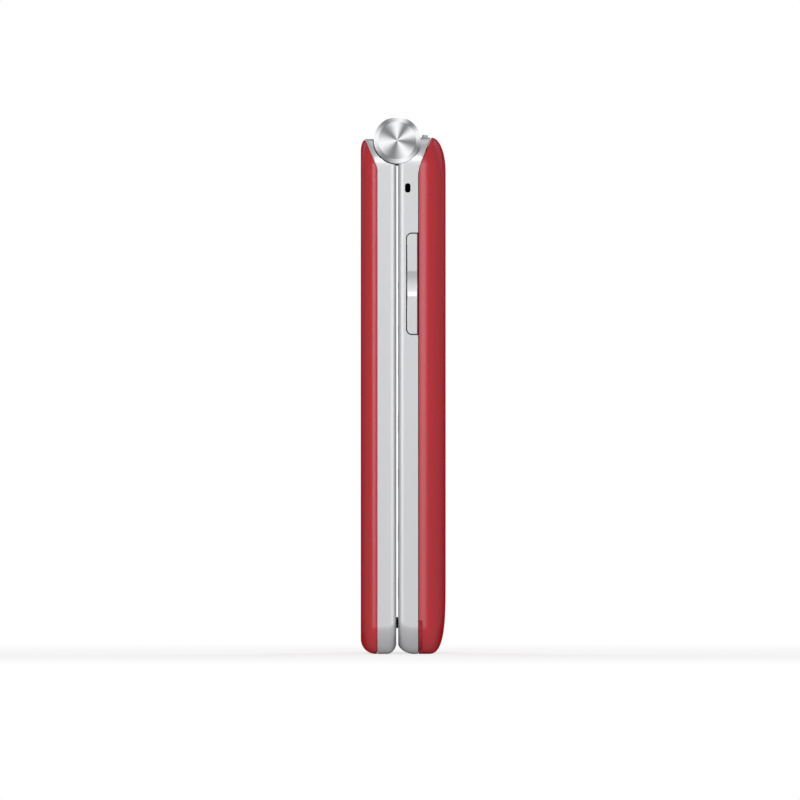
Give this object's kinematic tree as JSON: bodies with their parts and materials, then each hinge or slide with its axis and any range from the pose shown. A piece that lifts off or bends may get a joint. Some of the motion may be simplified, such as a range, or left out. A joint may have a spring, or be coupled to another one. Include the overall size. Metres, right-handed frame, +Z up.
{
  "type": "flip phone",
  "caption": "Flip phone with a hinged lid, spun hinge caps, side volume rocker, keypad keys that press and a lift-off battery cover.",
  "frame": {"origin": "centre of the closed phone's outer box, at its lower end, which it stands on", "axes": "+X towards the side with the volume rocker, +Y from the lid to the battery cover, +Z up to the hinge"},
  "size_m": [0.055, 0.0172, 0.1089],
  "materials": {
    "red_lacquer": "lacquered red with a soft gloss",
    "silver_lacquer": "silver paint, satin",
    "silver_key": "silver paint, satin",
    "dark_glass": "polished, dark",
    "camera_glass": "polished",
    "display_module": "smooth",
    "black_plastic": "fine matt texture",
    "camera_metal": "turned and brushed",
    "steel": "bright",
    "hinge_bearing": "smooth, self-lubricating",
    "ribbon": "amber film",
    "circuit_board": "solder mask",
    "contact_brass": "gold flash",
    "switch_plastic": "matt",
    "battery_wrap": "satin foil",
    "rubber": "matt",
    "number_key": "satin, with plain printed numbers",
    "call_key": "satin, green mark",
    "end_key": "satin, red mark",
    "select_key": "satin"
  },
  "bodies": {
    "base": {"base_front_housing": "silver_lacquer", "base_rear_housing": "black_plastic", "main_circuit_board": "circuit_board", "key_domes": "ribbon", "battery": "battery_wrap", "battery_contacts": "contact_brass", "usb_port": "steel", "headset_jack": "black_plastic", "loudspeaker": "steel", "vibration_motor": "steel", "antenna": "contact_brass", "sim_holder": "steel", "microphone": "black_plastic", "rf_shield": "steel", "volume_switches": "switch_plastic", "base_screws": "steel", "torch_lens": "camera_glass", "torch_led": "black_plastic", "hinge_shaft": "steel", "hinge_bush": "hinge_bearing", "hinge_caps": "camera_metal"},
    "lid": {"lid_outer_cover": "red_lacquer", "lid_inner_housing": "silver_lacquer", "lid_hinge_barrel": "silver_lacquer", "outer_window": "dark_glass", "outer_display": "display_module", "camera_module": "camera_metal", "camera_lens": "camera_glass", "main_window": "dark_glass", "main_display": "display_module", "lid_circuit_board": "circuit_board", "earpiece_speaker": "black_plastic", "earpiece_grille": "steel", "lid_magnet": "steel", "lid_bumpers": "rubber", "lid_screws": "steel", "lid_screw_plugs": "silver_lacquer", "hinge_cartridge": "steel", "hinge_spring": "steel", "hinge_flex": "ribbon"},
    "battery_cover": {"battery_cover": "red_lacquer"},
    "volume_rocker": {"volume_rocker": "silver_key"},
    "nav_ring": {"nav_ring": "silver_key"},
    "key_star": {"key_star": "number_key"},
    "key_0": {"key_0": "number_key"},
    "key_hash": {"key_hash": "number_key"},
    "key_1": {"key_1": "number_key"},
    "key_2": {"key_2": "number_key"},
    "key_3": {"key_3": "number_key"},
    "key_4": {"key_4": "number_key"},
    "key_5": {"key_5": "number_key"},
    "key_6": {"key_6": "number_key"},
    "key_7": {"key_7": "number_key"},
    "key_8": {"key_8": "number_key"},
    "key_9": {"key_9": "number_key"},
    "key_call": {"key_call": "call_key"},
    "key_end": {"key_end": "end_key"},
    "key_menu_left": {"key_menu_left": "number_key"},
    "key_menu_right": {"key_menu_right": "number_key"},
    "key_select": {"key_select": "select_key"}
  },
  "joints": [
    {"name": "lid_hinge", "type": "hinge", "parent": "base", "child": "lid", "pos_m": [0, -0.00122, 0.1042], "axis": [-1, 0, 0], "range_deg": [0, 155]},
    {"name": "cover_lift", "type": "slide", "parent": "base", "child": "battery_cover", "axis": [0, 1, 0], "range_m": [0, 0.03]},
    {"name": "volume_rock", "type": "hinge", "parent": "base", "child": "volume_rocker", "pos_m": [0.0263, 0.00188, 0.0751], "axis": [0, 1, 0], "range_deg": [-1.5, 1.5], "stiffness_Nm_per_rad": 0.3},
    {"name": "nav_rock", "type": "hinge", "parent": "base", "child": "nav_ring", "pos_m": [0, 0.00038, 0.066], "axis": [1, 0, 0], "range_deg": [-1.2, 1.2], "stiffness_Nm_per_rad": 0.5},
    {"name": "key_star_press", "type": "slide", "parent": "base", "child": "key_star", "axis": [0, 1, 0], "range_m": [0, 0.0003], "stiffness_N_per_m": 2000, "springref_m": -0.0005},
    {"name": "key_0_press", "type": "slide", "parent": "base", "child": "key_0", "axis": [0, 1, 0], "range_m": [0, 0.0003], "stiffness_N_per_m": 2000, "springref_m": -0.0005},
    {"name": "key_hash_press", "type": "slide", "parent": "base", "child": "key_hash", "axis": [0, 1, 0], "range_m": [0, 0.0003], "stiffness_N_per_m": 2000, "springref_m": -0.0005},
    {"name": "key_1_press", "type": "slide", "parent": "base", "child": "key_1", "axis": [0, 1, 0], "range_m": [0, 0.0003], "stiffness_N_per_m": 2000, "springref_m": -0.0005},
    {"name": "key_2_press", "type": "slide", "parent": "base", "child": "key_2", "axis": [0, 1, 0], "range_m": [0, 0.0003], "stiffness_N_per_m": 2000, "springref_m": -0.0005},
    {"name": "key_3_press", "type": "slide", "parent": "base", "child": "key_3", "axis": [0, 1, 0], "range_m": [0, 0.0003], "stiffness_N_per_m": 2000, "springref_m": -0.0005},
    {"name": "key_4_press", "type": "slide", "parent": "base", "child": "key_4", "axis": [0, 1, 0], "range_m": [0, 0.0003], "stiffness_N_per_m": 2000, "springref_m": -0.0005},
    {"name": "key_5_press", "type": "slide", "parent": "base", "child": "key_5", "axis": [0, 1, 0], "range_m": [0, 0.0003], "stiffness_N_per_m": 2000, "springref_m": -0.0005},
    {"name": "key_6_press", "type": "slide", "parent": "base", "child": "key_6", "axis": [0, 1, 0], "range_m": [0, 0.0003], "stiffness_N_per_m": 2000, "springref_m": -0.0005},
    {"name": "key_7_press", "type": "slide", "parent": "base", "child": "key_7", "axis": [0, 1, 0], "range_m": [0, 0.0003], "stiffness_N_per_m": 2000, "springref_m": -0.0005},
    {"name": "key_8_press", "type": "slide", "parent": "base", "child": "key_8", "axis": [0, 1, 0], "range_m": [0, 0.0003], "stiffness_N_per_m": 2000, "springref_m": -0.0005},
    {"name": "key_9_press", "type": "slide", "parent": "base", "child": "key_9", "axis": [0, 1, 0], "range_m": [0, 0.0003], "stiffness_N_per_m": 2000, "springref_m": -0.0005},
    {"name": "key_call_press", "type": "slide", "parent": "base", "child": "key_call", "axis": [0, 1, 0], "range_m": [0, 0.0003], "stiffness_N_per_m": 2000, "springref_m": -0.0005},
    {"name": "key_end_press", "type": "slide", "parent": "base", "child": "key_end", "axis": [0, 1, 0], "range_m": [0, 0.0003], "stiffness_N_per_m": 2000, "springref_m": -0.0005},
    {"name": "key_menu_left_press", "type": "slide", "parent": "base", "child": "key_menu_left", "axis": [0, 1, 0], "range_m": [0, 0.0003], "stiffness_N_per_m": 2000, "springref_m": -0.0005},
    {"name": "key_menu_right_press", "type": "slide", "parent": "base", "child": "key_menu_right", "axis": [0, 1, 0], "range_m": [0, 0.0003], "stiffness_N_per_m": 2000, "springref_m": -0.0005},
    {"name": "key_select_press", "type": "slide", "parent": "base", "child": "key_select", "axis": [0, 1, 0], "range_m": [0, 0.0003], "stiffness_N_per_m": 2000, "springref_m": -0.0005}
  ]
}
